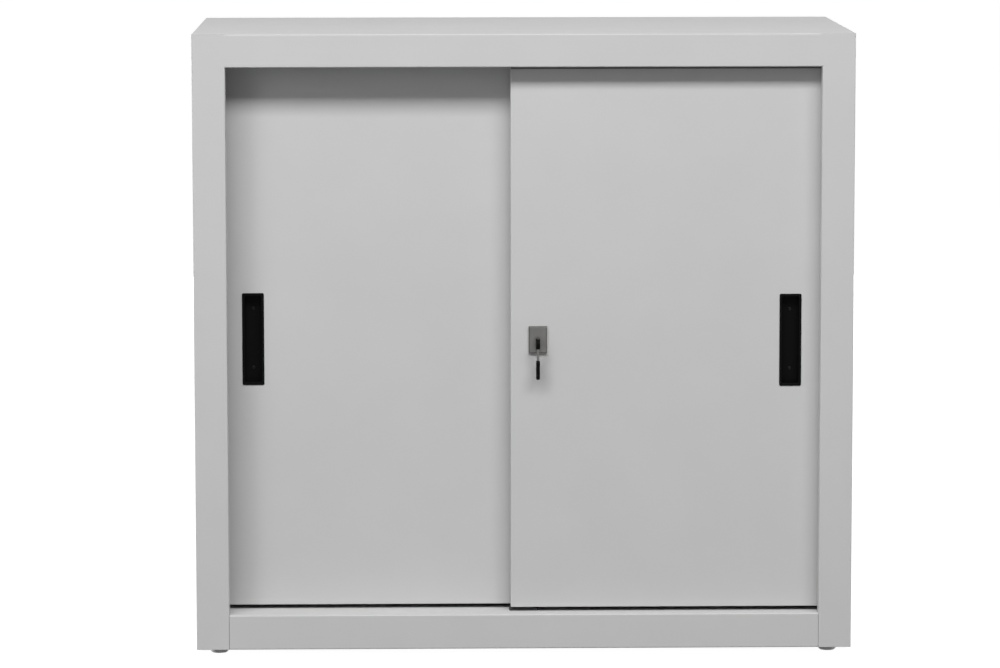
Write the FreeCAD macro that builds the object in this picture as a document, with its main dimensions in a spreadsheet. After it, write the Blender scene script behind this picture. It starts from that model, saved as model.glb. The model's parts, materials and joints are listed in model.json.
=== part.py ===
"""A low steel cupboard with two bypass sliding doors.

Frame: +X to the right, +Y to the back, +Z up, millimetres. The origin lies on
the ground under the middle of the cupboard. The front faces -Y.
"""
import FreeCAD
import Part
import Sketcher
import math
import os
from types import SimpleNamespace

Vector = FreeCAD.Vector
Rotation = FreeCAD.Rotation

# ---------------------------------------------------------------------------
# Driving sizes, all in millimetres
# ---------------------------------------------------------------------------
SIZES = {
    # overall box
    "overall_width": 900.0,
    "overall_depth": 450.0,
    "overall_height": 853.0,
    "foot_clearance": 8.0,          # underside of the carcass above the ground
    # folded sheet
    "sheet_gauge": 0.8,
    "bend_radius": 1.6,             # outside of a bend
    "seam_gap": 0.15,               # each rail end to its stile
    "fit_gap": 0.1,                 # between pieces that lie on each other
    # carcass folds
    "stile_width": 45.0,
    "stile_depth": 20.0,
    "stile_lip": 12.0,
    "rail_depth": 20.0,
    "rail_lip": 12.0,
    "top_rail_height": 45.0,
    "bottom_rail_height": 47.5,
    "rear_return": 20.0,
    "panel_flange": 20.0,
    "back_screw_margin": 60.0,
    "back_screw_count": 5,
    # doors
    "door_setback": 25.0,           # front door's face behind the stiles
    "door_thickness": 20.0,
    "door_spacing": 7.5,            # clear space between the two doors
    "door_overlap": 36.0,
    "door_tuck": 15.0,              # door edge hidden behind its stile
    "door_top_tuck": 1.0,           # door's top edge hidden behind the top rail
    "door_bottom_gap": 6.0,
    "door_lip": 10.0,
    "door_bottom_return": 6.0,
    "stiffener_crown": 30.0,
    "stiffener_flange": 12.0,
    "stiffener_depth": 14.0,
    "stiffener_margin": 30.0,
    # hanging track and rollers
    "track_gauge": 1.5,
    "track_width": 9.5,
    "track_lip": 7.0,
    "track_flange": 20.0,
    "track_rise": 6.0,              # underside of the track above the rail's soffit
    "track_setback": 1.0,           # track web in front of its door's face
    "roller_tread_radius": 7.5,
    "roller_flange_radius": 10.0,
    "roller_width": 9.0,
    "roller_groove": 3.5,
    "roller_gap": 0.25,             # running gap above the track's lip
    "axle_radius": 2.5,
    "bore_clearance": 0.05,
    "axle_head_radius": 4.2,
    "axle_head": 1.2,
    "axle_play": 0.35,
    "hanger_gauge": 2.0,
    "hanger_length": 40.0,
    "hanger_inset": 5.0,
    "hanger_setback": 15.5,         # rear of the hanger behind the door's face
    "hanger_foot": 13.5,
    "hanger_crest": 7.25,           # top of the hanger above the axle
    "hanger_screw_spread": 24.0,
    "stop_gap": 0.3,
    "stop_height": 14.0,
    "stop_depth": 17.9,
    # floor guide and the channel that runs over it
    "channel_height": 13.0,
    "channel_gauge": 1.5,
    "channel_gap": 4.0,
    "channel_setback": 6.5,
    "guide_base_height": 3.0,
    "guide_base_length": 40.0,
    "guide_margin": 8.0,
    "fin_thickness": 3.2,
    "fin_length": 28.0,
    "fin_height": 15.0,
    "guide_screw_spread": 22.0,
    # recessed pulls
    "pull_width": 30.0,
    "pull_height": 127.0,
    "pull_rim": 3.5,
    "pull_flange": 2.5,             # rim outside the cup's own walls
    "pull_proud": 1.2,
    "pull_depth": 13.0,
    "pull_floor": 1.2,
    "rear_pull_inset": 48.7,        # centre of the rear door's pull from its outer edge
    "front_pull_inset": 54.2,
    "pull_centre_height": 431.8,
    "pull_corner": 2.0,
    "pull_screw_spread": 82.0,
    "strap_width": 18.0,
    "strap_foot": 14.0,
    "strap_margin": 3.0,
    # lock
    "lock_inset": 37.2,             # axis from the front door's free edge
    "lock_axis_height": 428.4,
    "lock_width": 25.0,
    "lock_height": 37.0,
    "lock_rise": 4.9,               # middle of the face above the axis
    "lock_proud": 5.0,
    "lock_bevel": 1.6,
    "barrel_radius": 8.0,
    "barrel_length": 20.0,
    "plug_radius": 6.0,
    "plug_proud": 0.3,
    "plug_tail": 1.5,               # plug beyond the barrel
    "keyway_width": 1.9,
    "keyway_height": 7.0,
    "keyway_depth": 23.0,
    "retainer_gauge": 1.5,
    "retainer_width": 22.0,
    "retainer_height": 35.0,
    "lock_screw_low": 11.0,
    "lock_screw_high": 15.5,
    "cam_gauge": 2.0,
    "cam_width": 10.0,
    "cam_length": 30.0,
    "strike_gauge": 1.5,
    "strike_gap": 0.6,
    "strike_height": 12.0,
    "strike_drop": 14.0,
    "strike_foot": 22.0,
    # key
    "blade_thickness": 1.6,
    "blade_height": 6.0,
    "blade_insertion": 21.0,
    "pivot_reach": 9.0,             # pivot in front of the lock's face
    "pivot_radius": 1.3,
    "eye_radius": 5.4,
    "knuckle_wall": 1.8,            # plastic beside and around the blade's eye
    "tang_gauge": 3.2,
    "tang_width": 6.0,
    "tang_length": 26.0,            # tang's lower end below the pivot
    "grip_length": 26.0,
    "grip_thickness": 5.0,
    "grip_width": 16.0,
    "grip_drop": 22.6,              # grip's top below the pivot
    # shelves
    "shelf_thickness": 25.0,
    "shelf_setback": 90.0,
    "shelf_rear_gap": 8.0,
    "shelf_side_gap": 1.2,
    "shelf_lip": 12.0,
    "strip_gauge": 1.0,
    "strip_width": 20.0,
    "strip_depth": 5.0,
    "strip_foot": 9.0,              # strip's lower end above the floor panel
    "strip_head": 40.0,             # least room left above a strip
    "strip_front": 120.0,           # front strips behind the front plane
    "strip_rear": 50.0,             # rear strips in front of the rear plane
    "slot_pitch": 25.0,
    "slot_width": 3.0,
    "slot_height": 12.0,
    "lower_shelf_slot": 9,
    "upper_shelf_slot": 19,
    "clip_gauge": 1.5,
    "clip_width": 16.0,
    "clip_reach": 14.0,
    "clip_drop": 14.0,
    "clip_tongue": 2.6,
    # feet
    "foot_inset": 30.0,
    "foot_setback": 30.0,
    "pad_radius": 12.0,
    "pad_height": 7.7,
    "stud_radius": 4.0,
    "stud_length": 28.0,
    "stud_socket": 5.0,
    "plate_gauge": 2.0,
    "plate_length": 60.0,
    "plate_width": 60.0,
    "plate_flange": 15.0,
    "nut_flats": 13.0,
    "nut_height": 6.5,
    # screws
    "screw_radius": 2.0,
    "screw_head_radius": 3.5,
    "screw_head": 2.0,
    "small_screw_radius": 1.5,
    "small_screw_head_radius": 2.6,
    "small_screw_head": 1.4,
}

document = FreeCAD.newDocument("sliding_door_cupboard")
sheet = document.addObject("Spreadsheet::Sheet", "sizes")
for row, (name, value) in enumerate(SIZES.items(), 1):
    sheet.set(f"A{row}", name)
    sheet.set(f"B{row}", str(value))
    sheet.setAlias(f"B{row}", name)
document.recompute()


class Size:
    """A length that carries its value and the spreadsheet formula it follows."""

    def __init__(self, value, formula):
        self.value = value
        self.formula = formula

    def __add__(self, other):
        other = as_size(other)
        return Size(self.value + other.value, f"({self.formula} + {other.formula})")

    def __sub__(self, other):
        other = as_size(other)
        return Size(self.value - other.value, f"({self.formula} - {other.formula})")

    def __mul__(self, other):
        other = as_size(other)
        return Size(self.value * other.value, f"({self.formula} * {other.formula})")

    def __truediv__(self, other):
        other = as_size(other)
        return Size(self.value / other.value, f"({self.formula} / {other.formula})")

    def __neg__(self):
        return self * -1

    def floor(self):
        """Whole steps only, as for a count of holes."""
        return Size(math.floor(self.value), f"floor({self.formula})")

    def __radd__(self, other):
        return as_size(other) + self

    def __rsub__(self, other):
        return as_size(other) - self

    def __rmul__(self, other):
        return as_size(other) * self


def as_size(number):
    """Wrap a plain number so that it can stand in a formula."""
    if isinstance(number, Size):
        return number
    return Size(float(number), f"({float(number)})")


s = SimpleNamespace(**{name: Size(value, f"sizes.{name}") for name, value in SIZES.items()})


def bind(thing, path, size):
    """Tie one property of an object to the sheet."""
    thing.setExpression(path, as_size(size).formula)


def folded(path, gauge):
    """Outline of a sheet folded along a square-cornered path.

    The metal lies to the left of the path for a positive gauge. Returns the
    outline, then its outside and its inside bend corners.
    """
    headings = []
    for (u0, v0), (u1, v1) in zip(path, path[1:]):
        du = as_size(u1).value - as_size(u0).value
        dv = as_size(v1).value - as_size(v0).value
        headings.append((round(du / abs(du)), 0) if abs(du) > abs(dv) else (0, round(dv / abs(dv))))
    other_face = []
    outside = []
    inside = []
    for index, (u, v) in enumerate(path):
        before = headings[max(index - 1, 0)]
        after = headings[min(index, len(headings) - 1)]
        lefts = {(-before[1], before[0]), (-after[1], after[0])}
        shifted = (u + gauge * sum(left[0] for left in lefts), v + gauge * sum(left[1] for left in lefts))
        other_face.append(shifted)
        if before == after:
            continue
        turns_to_metal = (before[0] * after[1] - before[1] * after[0]) * gauge.value > 0
        outside.append((u, v) if turns_to_metal else shifted)
        inside.append(shifted if turns_to_metal else (u, v))
    return path + other_face[::-1], outside, inside


class Piece:
    """One physical piece of the cupboard: a PartDesign body bound to the sheet."""

    AXES = {"XY": (0, 1, 2), "XZ": (0, 2, 1), "YZ": (1, 2, 0)}

    def __init__(self, label):
        self.body = document.addObject("PartDesign::Body", label)
        self.body.Label = label
        self.origin = {feature.Role: feature for feature in self.body.Origin.OriginFeatures}

    def sketch(self, plane, start, loops):
        """A sketch across one origin plane, moved along that plane's axis to start."""
        sketch = self.body.newObject("Sketcher::SketchObject", self.body.Label + "_sketch")
        sketch.AttachmentSupport = [(self.origin[plane + "_Plane"], "")]
        sketch.MapMode = "FlatFace"
        bind(sketch, "AttachmentOffset.Base.z", -start if plane == "XZ" else start)
        for loop in loops:
            if isinstance(loop, tuple):
                self.draw_circle(sketch, *loop)
            else:
                self.draw_outline(sketch, loop)
        return sketch

    @staticmethod
    def draw_outline(sketch, points):
        """A closed outline whose corners are all placed by formulas."""
        points = [(as_size(u), as_size(v)) for u, v in points]
        lines = []
        for (u0, v0), (u1, v1) in zip(points, points[1:] + points[:1]):
            ends = Vector(u0.value, v0.value, 0), Vector(u1.value, v1.value, 0)
            lines.append(sketch.addGeometry(Part.LineSegment(*ends)))
        for line, following in zip(lines, lines[1:] + lines[:1]):
            sketch.addConstraint(Sketcher.Constraint("Coincident", line, 2, following, 1))
        for line, (u, v) in zip(lines, points):
            for kind, size in (("DistanceX", u), ("DistanceY", v)):
                index = sketch.addConstraint(Sketcher.Constraint(kind, -1, 1, line, 1, size.value))
                bind(sketch, f"Constraints[{index}]", size)

    @staticmethod
    def draw_circle(sketch, u, v, radius):
        """A circle whose centre and radius are placed by formulas."""
        u, v, radius = as_size(u), as_size(v), as_size(radius)
        circle = Part.Circle(Vector(u.value, v.value, 0), Vector(0, 0, 1), radius.value)
        circle = sketch.addGeometry(circle)
        index = sketch.addConstraint(Sketcher.Constraint("Radius", circle, radius.value))
        bind(sketch, f"Constraints[{index}]", radius)
        for kind, size in (("DistanceX", u), ("DistanceY", v)):
            index = sketch.addConstraint(Sketcher.Constraint(kind, -1, 1, circle, 3, size.value))
            bind(sketch, f"Constraints[{index}]", size)

    def feature(self, kind, name):
        return self.body.newObject("PartDesign::" + kind, f"{self.body.Label}_{name}")

    def pad(self, plane, start, end, *loops):
        """Add metal between two positions along the plane's axis."""
        pad = self.feature("Pad", "pad")
        pad.Profile = self.sketch(plane, start, loops)
        bind(pad, "Length", end - start)
        pad.Reversed = plane == "XZ"
        document.recompute()
        return pad

    def cut(self, plane, start, end, *loops):
        """Remove metal between two positions along the plane's axis."""
        before = self.body.Shape.Volume
        pocket = self.feature("Pocket", "cut")
        pocket.Profile = self.sketch(plane, start, loops)
        bind(pocket, "Length", end - start)
        pocket.Reversed = plane != "XZ"
        document.recompute()
        if not self.body.Shape.Volume < before - 1e-6:
            raise RuntimeError(f"{pocket.Label} cuts nothing")
        return pocket

    def fold(self, plane, start, end, path, gauge):
        """Add a folded sheet with rounded bends."""
        outline, outside, inside = folded(path, gauge)
        self.pad(plane, start, end, outline)
        thickness = gauge if gauge.value > 0 else -gauge
        self.round_corners(plane, outside, s.bend_radius - s.sheet_gauge + thickness)
        self.round_corners(plane, inside, s.bend_radius - s.sheet_gauge)

    def round_corners(self, plane, corners, radius, kind="Fillet"):
        """Round the straight edges that run along the plane's axis at these corners."""
        a, b, _ = self.AXES[plane]
        wanted = [(as_size(u).value, as_size(v).value) for u, v in corners]

        def at_corner(edge):
            ends = [vertex.Point for vertex in edge.Vertexes]
            if len(ends) != 2:
                return False
            return any(all(abs(end[a] - u) < 1e-4 and abs(end[b] - v) < 1e-4 for end in ends)
                       for u, v in wanted)

        return self.soften(at_corner, radius, kind)

    def soften(self, test, radius, kind="Fillet"):
        """Fillet or chamfer each edge that passes the test."""
        base = self.body.Tip
        names = [f"Edge{i}" for i, edge in enumerate(base.Shape.Edges, 1) if test(edge)]
        if not names:
            raise RuntimeError(f"{self.body.Label}: no edge to soften")
        feature = self.feature(kind, kind.lower())
        feature.Base = (base, names)
        bind(feature, "Radius" if kind == "Fillet" else "Size", radius)
        document.recompute()
        return feature

    def repeat(self, original, axis, spacing, count):
        """Repeat a feature in a straight row along one of the body's axes."""
        pattern = self.feature("LinearPattern", "row")
        pattern.Originals = [original]
        pattern.Direction = (self.origin[axis + "_Axis"], [""])
        pattern.Mode = "Spacing"
        bind(pattern, "Offset", spacing)
        bind(pattern, "Occurrences", count)
        self.body.Tip = pattern
        document.recompute()
        return pattern

    def turn(self, points):
        """Revolve (radius, height) points about the body's own Z axis."""
        turned = self.feature("Revolution", "turned")
        turned.Profile = self.sketch("XZ", as_size(0), [points])
        turned.ReferenceAxis = (turned.Profile[0], ["V_Axis"])
        turned.Angle = 360
        document.recompute()
        return turned

    def place(self, x, y, z, rotation=None):
        """Stand the finished body where it belongs."""
        if rotation:
            self.body.Placement = FreeCAD.Placement(Vector(), rotation)
        for axis, size in (("x", x), ("y", y), ("z", z)):
            bind(self.body, f"Placement.Base.{axis}", size)
        document.recompute()
        return self


def group(label, items):
    """Several equal pieces that share one node; each item is (piece, (x, y, z), rotation)."""
    links = []
    for piece, position, rotation in items:
        link = document.addObject("App::Link", label + "_item")
        link.LinkedObject = piece.body
        if rotation:
            link.Placement = FreeCAD.Placement(Vector(), rotation)
        for axis, size in zip("xyz", position):
            bind(link, f"Placement.Base.{axis}", size)
        links.append(link)
    compound = document.addObject("Part::Compound", label)
    compound.Label = label
    compound.Links = links
    document.recompute()
    return compound


def rectangle(u0, v0, u1, v1):
    """Corner points of an upright rectangle."""
    return [(u0, v0), (u1, v0), (u1, v1), (u0, v1)]


def screw(label, radius, head_radius, head_height, length):
    """A pan-head screw on +Z: underside of the head at zero, shank downwards."""
    piece = Piece(label)
    dome = head_height / 2
    piece.turn([(0, -length), (radius, -length), (radius, 0), (head_radius, 0),
                (head_radius, head_height - dome), (head_radius - dome, head_height), (0, head_height)])
    return piece


TO_FRONT = Rotation(Vector(1, 0, 0), 90)        # local +Z turned to face -Y
TO_BACK = Rotation(Vector(1, 0, 0), -90)        # local +Z turned to face +Y
ABOUT_FACE = Rotation(Vector(0, 0, 1), 180)

# ---------------------------------------------------------------------------
# Shared positions
# ---------------------------------------------------------------------------
gauge = s.sheet_gauge
front = -s.overall_depth / 2
back = s.overall_depth / 2
side = s.overall_width / 2
top = s.overall_height
underside = s.foot_clearance
floor_top = underside + s.bottom_rail_height
rail_bottom = top - s.top_rail_height
wall_top = top - gauge
wall_inner = side - gauge
opening_side = side - s.stile_width
back_panel_front = back - gauge * 2

door_bottom = floor_top + s.door_bottom_gap
door_top = rail_bottom + s.door_top_tuck
door_outer = opening_side + s.door_tuck
door_pitch = s.door_thickness + s.door_spacing
front_door_face = front + s.door_setback
rear_door_face = front_door_face + door_pitch

track_bottom = rail_bottom + s.track_rise
track_lip_top = track_bottom + s.track_lip
axle_height = track_lip_top + s.roller_gap + s.roller_tread_radius

nodes = []


def keep(thing):
    """List a finished piece for writing."""
    nodes.append(thing.body if isinstance(thing, Piece) else thing)
    return thing


# ---------------------------------------------------------------------------
# Carcass: side panels, each one sheet folded into a stile, a wall and a return
# ---------------------------------------------------------------------------
back_screw_x = side - s.rear_return / 2
back_screw_z = underside + s.back_screw_margin
back_screw_pitch = (wall_top - underside - s.back_screw_margin * 2) / (s.back_screw_count - 1)
back_screw_hole = s.screw_radius + s.bore_clearance

for name, hand in (("left", -1), ("right", 1)):
    panel = Piece(name + "_side_panel")
    path = [(hand * (opening_side + s.stile_lip), front + s.stile_depth),
            (hand * opening_side, front + s.stile_depth),
            (hand * opening_side, front),
            (hand * side, front),
            (hand * side, back),
            (hand * (side - s.rear_return), back)]
    panel.fold("XY", underside, wall_top, path, gauge * hand)
    hole = panel.cut("XZ", back - gauge * 1.5, back + gauge,
                     (hand * back_screw_x, back_screw_z, back_screw_hole))
    panel.repeat(hole, "Z", back_screw_pitch, s.back_screw_count)
    keep(panel)

# The top sheet caps both walls and turns down into the top rail between the stiles.
top_panel = Piece("top_panel")
rail_end = opening_side - s.seam_gap
rail_back = front + s.rail_depth
top_panel.fold("YZ", -rail_end, rail_end,
               [(rail_back, rail_bottom + s.rail_lip), (rail_back, rail_bottom), (front, rail_bottom),
                (front, top), (rail_back, top)], -gauge)
bend_back = front + s.bend_radius
top_panel.pad("XY", wall_top, top,
              [(-side, front), (-rail_end, front), (-rail_end, bend_back), (rail_end, bend_back),
               (rail_end, front), (side, front), (side, back), (-side, back)])
flange_outer = wall_inner - s.fit_gap
for hand in (-1, 1):
    top_panel.pad("XZ", rail_back, back_panel_front - s.fit_gap,
                  rectangle(hand * (flange_outer - gauge), wall_top - s.panel_flange,
                            hand * flange_outer, wall_top + gauge / 2))
top_panel.pad("YZ", -flange_outer, flange_outer,
              rectangle(back_panel_front - s.fit_gap - gauge, wall_top - s.panel_flange,
                        back_panel_front - s.fit_gap, wall_top + gauge / 2))
keep(top_panel)

# The floor panel is a tray; its front turns down into the bottom rail.
bottom_panel = Piece("bottom_panel")
bottom_panel.fold("XZ", rail_back, back_panel_front - s.fit_gap,
                  [(-flange_outer, floor_top - s.panel_flange), (-flange_outer, floor_top),
                   (flange_outer, floor_top), (flange_outer, floor_top - s.panel_flange)], -gauge)
bottom_panel.fold("YZ", -rail_end, rail_end,
                  [(rail_back, underside + s.rail_lip), (rail_back, underside), (front, underside),
                   (front, floor_top), (rail_back, floor_top)], -gauge)
bottom_panel.pad("YZ", -(flange_outer - gauge), flange_outer - gauge,
                 rectangle(back_panel_front - s.fit_gap - gauge, floor_top - s.panel_flange,
                           back_panel_front - s.fit_gap, floor_top - gauge / 2))
guide_screw_y = rear_door_face - s.door_spacing / 2
guide_hole = s.screw_radius + s.bore_clearance
bottom_panel.cut("XY", floor_top - gauge * 2, floor_top + gauge,
                 *[(hand * s.guide_screw_spread / 2, guide_screw_y, guide_hole) for hand in (-1, 1)])
keep(bottom_panel)

back_panel = Piece("back_panel")
back_edge = wall_inner - s.bend_radius
back_panel.pad("XZ", back_panel_front, back - gauge,
               rectangle(-back_edge, underside, back_edge, wall_top - s.fit_gap))
for hand in (-1, 1):
    hole = back_panel.cut("XZ", back_panel_front - gauge, back - gauge / 2,
                          (hand * back_screw_x, back_screw_z, back_screw_hole))
    back_panel.repeat(hole, "Z", back_screw_pitch, s.back_screw_count)
keep(back_panel)

back_screw = screw("back_screw", s.screw_radius, s.screw_head_radius, s.screw_head, gauge * 2)
items = []
for hand in (-1, 1):
    for step in range(int(SIZES["back_screw_count"])):
        place = (hand * back_screw_x, back_panel_front, back_screw_z + back_screw_pitch * step)
        items.append((back_screw, place, TO_FRONT))
keep(group("back_panel_screws", items))

# ---------------------------------------------------------------------------
# Hanging tracks under the top, their rubber end stops, and the floor guide
# ---------------------------------------------------------------------------
hanger_end = door_outer - s.hanger_inset
stop_face = hanger_end + s.stop_gap
track_end = flange_outer - gauge - s.fit_gap
stop_items = []
for name, face in (("front", front_door_face), ("rear", rear_door_face)):
    web = face - s.track_setback
    lip = web + s.track_width
    track = Piece(name + "_track")
    track.fold("YZ", -track_end, track_end,
               [(web + s.track_flange, wall_top), (web, wall_top), (web, track_bottom),
                (lip, track_bottom), (lip, track_lip_top)], s.track_gauge)
    keep(track)
    block_bottom = track_bottom + s.track_gauge + s.fit_gap
    slot_front = lip - s.track_gauge - s.fit_gap
    slot_back = lip + s.fit_gap
    block_front = web + s.track_gauge + s.fit_gap
    block_back = web + s.stop_depth
    block_top = block_bottom + s.stop_height
    stop = Piece(name + "_stop")
    stop.pad("YZ", stop_face, wall_inner - s.fit_gap,
             [(block_front, block_bottom), (slot_front, block_bottom),
              (slot_front, track_lip_top + s.fit_gap), (slot_back, track_lip_top + s.fit_gap),
              (slot_back, block_bottom), (block_back, block_bottom), (block_back, block_top),
              (block_front, block_top)])
    stop.round_corners("YZ", [(block_front, block_top), (block_back, block_top), (block_front, block_bottom),
                              (slot_front, block_bottom)], s.bend_radius)
    stop_items.append((stop, (as_size(0), as_size(0), as_size(0)), None))
    mirrored = stop_face + wall_inner - s.fit_gap
    stop_items.append((stop, (-mirrored, as_size(0), as_size(0)), None))
keep(group("track_end_stops", stop_items))

guide = Piece("floor_guide")
guide_top = floor_top + s.guide_base_height
guide.pad("XY", floor_top, guide_top,
          rectangle(-s.guide_base_length / 2, front_door_face + s.guide_margin / 2,
                    s.guide_base_length / 2, rear_door_face + s.door_thickness - s.guide_margin / 2))
fin_inset = s.channel_setback + s.channel_gauge + (s.channel_gap - s.fin_thickness) / 2
for face in (front_door_face, rear_door_face):
    guide.pad("XY", guide_top, floor_top + s.fin_height,
              rectangle(-s.fin_length / 2, face + fin_inset,
                        s.fin_length / 2, face + fin_inset + s.fin_thickness))
    ends = [(hand * s.fin_length / 2, face + fin_inset + shift)
            for hand in (-1, 1) for shift in (as_size(0), s.fin_thickness)]
    guide.round_corners("XY", ends, s.fin_thickness * 0.4)
base_corners = [(hand * s.guide_base_length / 2, y)
                for hand in (-1, 1)
                for y in (front_door_face + s.guide_margin / 2,
                          rear_door_face + s.door_thickness - s.guide_margin / 2)]
guide.round_corners("XY", base_corners, s.guide_margin / 2)
for hand in (-1, 1):
    x = hand * s.guide_screw_spread / 2
    guide.cut("XY", floor_top - gauge, guide_top + gauge, (x, guide_screw_y, guide_hole))
keep(guide)

guide_screw = screw("guide_screw", s.screw_radius, s.screw_head_radius, s.screw_head, s.guide_base_height * 2.5)
keep(group("floor_guide_screws",
           [(guide_screw, (hand * s.guide_screw_spread / 2, guide_screw_y, guide_top), None)
            for hand in (-1, 1)]))

# ---------------------------------------------------------------------------
# Shelves on clips in slotted strips
# ---------------------------------------------------------------------------
strip_bottom = floor_top + s.strip_foot
slot_count = ((wall_top - s.strip_head - strip_bottom) / s.slot_pitch).floor() - 1
strip_top = strip_bottom + s.slot_pitch * (slot_count + 1)
first_slot = strip_bottom + s.slot_pitch
strip_back = wall_inner - s.fit_gap
strip_face = wall_inner - s.strip_depth
strip_rows = (front + s.strip_front, back - s.strip_rear)

for name, hand in (("left", -1), ("right", 1)):
    strip = Piece(name + "_strip")
    half = s.strip_width / 2
    strip.fold("XY", strip_bottom, strip_top,
               [(hand * strip_back, -half), (hand * strip_face, -half),
                (hand * strip_face, half), (hand * strip_back, half)], s.strip_gauge * -hand)
    slot = strip.cut("YZ", (hand * strip_face) - s.strip_gauge * 2, (hand * strip_face) + s.strip_gauge * 2,
                     rectangle(-s.slot_width / 2, first_slot - s.slot_height / 2,
                               s.slot_width / 2, first_slot + s.slot_height / 2))
    strip.repeat(slot, "Z", s.slot_pitch, slot_count)
    keep(group(name + "_shelf_strips",
               [(strip, (as_size(0), row, as_size(0)), None) for row in strip_rows]))

# A clip hooks through one slot and carries a corner of the shelf on its seat.
clip = Piece("clip")
seat_back = strip_face - s.fit_gap
seat_front = seat_back - s.clip_reach
tongue_top = -s.clip_gauge
tongue_low = tongue_top - s.clip_gauge * 1.6
hook_front = strip_face + s.strip_gauge + s.fit_gap
hook_back = hook_front + s.clip_gauge
clip.pad("XZ", -s.clip_width / 2, s.clip_width / 2,
         [(seat_front, -s.clip_gauge), (seat_back - s.clip_gauge, -s.clip_gauge),
          (seat_back - s.clip_gauge, -s.clip_drop), (seat_back, -s.clip_drop), (seat_back, as_size(0)),
          (seat_front, as_size(0))])
clip.pad("XZ", -s.clip_tongue / 2, s.clip_tongue / 2,
         [(seat_back - s.clip_gauge / 2, tongue_low), (hook_front, tongue_low),
          (hook_front, tongue_low - s.clip_gauge), (hook_back, tongue_low - s.clip_gauge),
          (hook_back, tongue_top), (seat_back - s.clip_gauge / 2, tongue_top)])
clip_rise = s.clip_gauge * 1.6
clip_items = []
for slot_number in (s.lower_shelf_slot, s.upper_shelf_slot):
    height = first_slot + s.slot_pitch * slot_number + clip_rise
    for row in strip_rows:
        clip_items.append((clip, (as_size(0), row, height), None))
        clip_items.append((clip, (as_size(0), row, height), ABOUT_FACE))
keep(group("shelf_clips", clip_items))

shelf_half = strip_face - s.shelf_side_gap
shelf_front = front + s.shelf_setback
shelf_back = back_panel_front - s.shelf_rear_gap
for name, slot_number in (("shelf_lower", s.lower_shelf_slot), ("shelf_upper", s.upper_shelf_slot)):
    shelf = Piece(name)
    low = first_slot + s.slot_pitch * slot_number + clip_rise + s.fit_gap
    high = low + s.shelf_thickness
    shelf.fold("YZ", -shelf_half, shelf_half,
               [(shelf_front + s.shelf_lip, low), (shelf_front, low), (shelf_front, high),
                (shelf_back, high), (shelf_back, low)], -gauge)
    for hand in (-1, 1):
        shelf.pad("XZ", shelf_front + gauge / 2, shelf_back - gauge / 2,
                  rectangle(hand * (shelf_half - gauge), low, hand * shelf_half, high - gauge / 2))
    keep(shelf)

# ---------------------------------------------------------------------------
# Levelling feet: corner plate, weld nut, stud and pad
# ---------------------------------------------------------------------------
foot_x = side - s.foot_inset
foot_y = back - s.foot_setback
plate_outer = wall_inner - s.fit_gap
plate_front = foot_y + s.foot_setback - s.stile_depth - s.fit_gap
plate_items = []
for name, hand, end in (("front_left", -1, -1), ("front_right", 1, -1), ("rear_left", -1, 1), ("rear_right", 1, 1)):
    plate = Piece("corner_plate_" + name)
    low_y, high_y = (-plate_front, -plate_front + s.plate_length)
    if end > 0:
        low_y, high_y = (plate_front - s.plate_length, plate_front)
    plate.fold("XZ", low_y, high_y,
               [(hand * (plate_outer - s.plate_width), underside), (hand * plate_outer, underside),
                (hand * plate_outer, underside + s.plate_flange)], s.plate_gauge * hand)
    plate.cut("XY", underside - gauge, underside + s.plate_gauge + gauge,
              (hand * foot_x, end * foot_y, s.stud_radius + s.bore_clearance))
    plate_items.append((plate, (as_size(0), as_size(0), as_size(0)), None))
keep(group("corner_plates", plate_items))

nut = Piece("foot_nut")
nut_bottom = underside + s.plate_gauge
nut_ring = [(s.nut_flats / 2 * u, s.nut_flats / 2 * v)
            for u, v in ((1, 0.57735), (0, 1.1547), (-1, 0.57735), (-1, -0.57735), (0, -1.1547), (1, -0.57735))]
nut.pad("XY", nut_bottom, nut_bottom + s.nut_height, nut_ring)
nut.cut("XY", nut_bottom - gauge, nut_bottom + s.nut_height + gauge,
        (as_size(0), as_size(0), s.stud_radius + s.bore_clearance))
keep(group("foot_nuts", [(nut, (hand * foot_x, end * foot_y, as_size(0)), None)
                         for hand in (-1, 1) for end in (-1, 1)]))

for name, hand, end in (("front_left", -1, -1), ("front_right", 1, -1), ("rear_left", -1, 1), ("rear_right", 1, 1)):
    socket_bottom = s.pad_height - s.stud_socket
    socket_radius = s.stud_radius + s.bore_clearance
    pad = Piece("foot_pad_" + name)
    edge = s.pad_height * 0.2
    pad.turn([(0, 0), (s.pad_radius - edge, 0), (s.pad_radius, edge), (s.pad_radius, s.pad_height - edge),
              (s.pad_radius - edge, s.pad_height), (socket_radius, s.pad_height),
              (socket_radius, socket_bottom), (0, socket_bottom)])
    keep(pad.place(hand * foot_x, end * foot_y, as_size(0)))
    stud = Piece("foot_stud_" + name)
    stud_top = socket_bottom + s.stud_length
    stud.turn([(0, socket_bottom), (s.stud_radius, socket_bottom), (s.stud_radius, stud_top - s.stud_radius / 4),
               (s.stud_radius * 3 / 4, stud_top), (0, stud_top)])
    keep(stud.place(hand * foot_x, end * foot_y, as_size(0)))

# ---------------------------------------------------------------------------
# Doors: each a shallow pan that hangs on two grooved rollers
# ---------------------------------------------------------------------------
lock_x = s.lock_inset - s.door_overlap / 2
lock_z = s.lock_axis_height
lock_middle = lock_z + s.lock_rise
lock_screws_z = (lock_z - s.lock_screw_low, lock_z + s.lock_screw_high)
pull_cup_half_width = s.pull_width / 2 - s.pull_flange
pull_cup_half_height = s.pull_height / 2 - s.pull_flange
hanger_screw = screw("hanger_screw", s.screw_radius, s.screw_head_radius, s.screw_head, s.hanger_gauge * 3)
pull_screw = screw("pull_screw", s.small_screw_radius, s.small_screw_head_radius,
                   s.small_screw_head, s.pull_floor * 3)

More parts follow.
